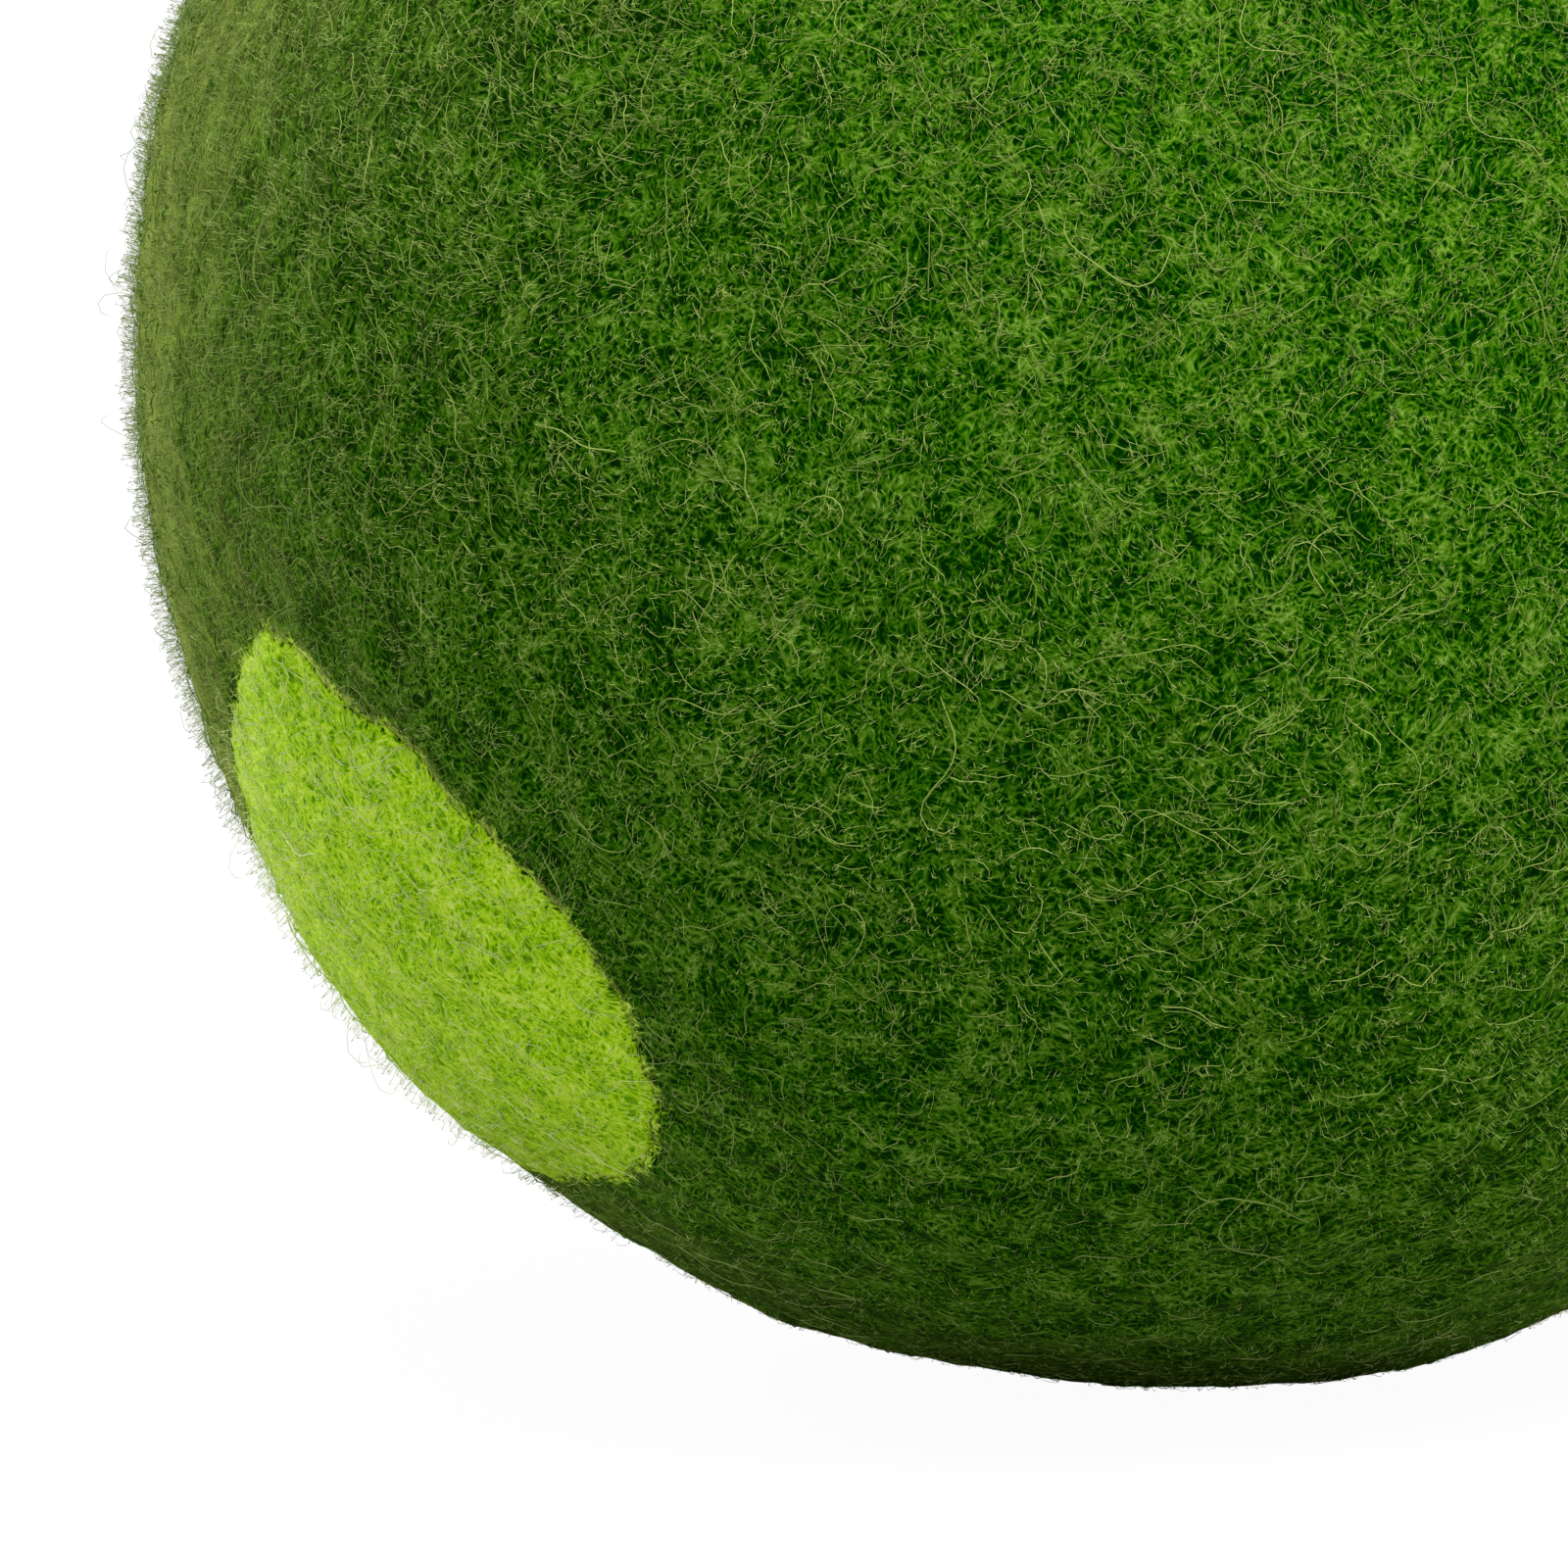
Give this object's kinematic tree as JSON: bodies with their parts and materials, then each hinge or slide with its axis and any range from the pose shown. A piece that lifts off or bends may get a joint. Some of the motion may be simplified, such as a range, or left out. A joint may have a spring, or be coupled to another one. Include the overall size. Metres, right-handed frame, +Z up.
{
  "type": "felt rattle ball",
  "caption": "Soft hand-felted wool ball for a baby, dark green with inset lime dots, with a snap-together rattle capsule of loose pellets sealed in its fleece core.",
  "frame": {"origin": "middle of the flat patch on the underside that the ball sits on", "axes": "+Z up; the pictured side faces -Y, with +X to its right"},
  "size_m": [0.075, 0.075, 0.0745],
  "materials": {
    "green_felt": "dense matted wool felt with loose curling fibres",
    "lime_felt": "dense matted wool felt with loose curling fibres",
    "fleece": "wound undyed fleece",
    "capsule_plastic": "satin moulded plastic",
    "pellet_steel": "tumbled bright steel"
  },
  "bodies": {
    "ball": {"outer_felt": "green_felt", "fleece_core": "fleece", "capsule_base": "capsule_plastic", "capsule_lid": "capsule_plastic", "felt_dot_1": "lime_felt", "felt_dot_2": "lime_felt", "felt_dot_3": "lime_felt", "felt_dot_4": "lime_felt", "felt_dot_5": "lime_felt", "felt_dot_6": "lime_felt"},
    "pellet_1_body": {"pellet_1": "pellet_steel"},
    "pellet_2_body": {"pellet_2": "pellet_steel"},
    "pellet_3_body": {"pellet_3": "pellet_steel"},
    "pellet_4_body": {"pellet_4": "pellet_steel"},
    "pellet_5_body": {"pellet_5": "pellet_steel"},
    "pellet_6_body": {"pellet_6": "pellet_steel"},
    "pellet_7_body": {"pellet_7": "pellet_steel"},
    "pellet_8_body": {"pellet_8": "pellet_steel"},
    "pellet_9_body": {"pellet_9": "pellet_steel"},
    "pellet_10_body": {"pellet_10": "pellet_steel"}
  },
  "joints": [
    {"name": "pellet_1_rattle", "type": "slide", "parent": "ball", "child": "pellet_1_body", "axis": [0, 0, 1], "range_m": [0, 0.0264]},
    {"name": "pellet_2_rattle", "type": "slide", "parent": "ball", "child": "pellet_2_body", "axis": [0, 0, 1], "range_m": [0, 0.0211]},
    {"name": "pellet_3_rattle", "type": "slide", "parent": "ball", "child": "pellet_3_body", "axis": [0, 0, 1], "range_m": [0, 0.0211]},
    {"name": "pellet_4_rattle", "type": "slide", "parent": "ball", "child": "pellet_4_body", "axis": [0, 0, 1], "range_m": [0, 0.0211]},
    {"name": "pellet_5_rattle", "type": "slide", "parent": "ball", "child": "pellet_5_body", "axis": [0, 0, 1], "range_m": [0, 0.0211]},
    {"name": "pellet_6_rattle", "type": "slide", "parent": "ball", "child": "pellet_6_body", "axis": [0, 0, 1], "range_m": [0, 0.0211]},
    {"name": "pellet_7_rattle", "type": "slide", "parent": "ball", "child": "pellet_7_body", "axis": [0, 0, 1], "range_m": [0, 0.0211]},
    {"name": "pellet_8_rattle", "type": "slide", "parent": "ball", "child": "pellet_8_body", "axis": [0, 0, 1], "range_m": [0, 0.0211]},
    {"name": "pellet_9_rattle", "type": "slide", "parent": "ball", "child": "pellet_9_body", "axis": [0, 0, 1], "range_m": [0, 0.0211]},
    {"name": "pellet_10_rattle", "type": "slide", "parent": "ball", "child": "pellet_10_body", "axis": [0, 0, 1], "range_m": [0, 0.0211]}
  ]
}
